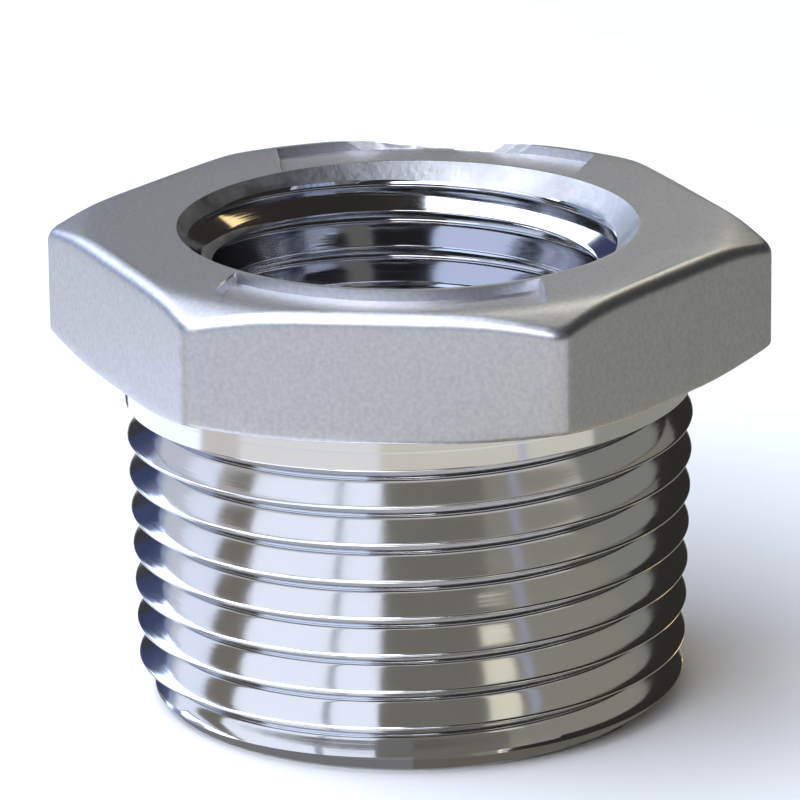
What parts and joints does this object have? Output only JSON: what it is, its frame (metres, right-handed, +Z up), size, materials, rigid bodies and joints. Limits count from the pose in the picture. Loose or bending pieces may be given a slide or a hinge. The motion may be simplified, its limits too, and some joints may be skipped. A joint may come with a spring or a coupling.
{
  "type": "hex bushing",
  "caption": "Reducing hex bushing: hexagon head over a tapered male pipe thread, with a through bore tapped from the head end.",
  "frame": {"origin": "centre of the end face of the male thread, on the bore axis", "axes": "+Z up the bore axis from the thread end to the hexagon head; +X towards a corner of the hexagon; -Y towards the flat over the front marking band"},
  "size_m": [0.0344, 0.03, 0.0231],
  "materials": {
    "stainless_steel": "blasted cast head, turned threads"
  },
  "bodies": {
    "root": {"bushing": "stainless_steel"}
  },
  "joints": []
}
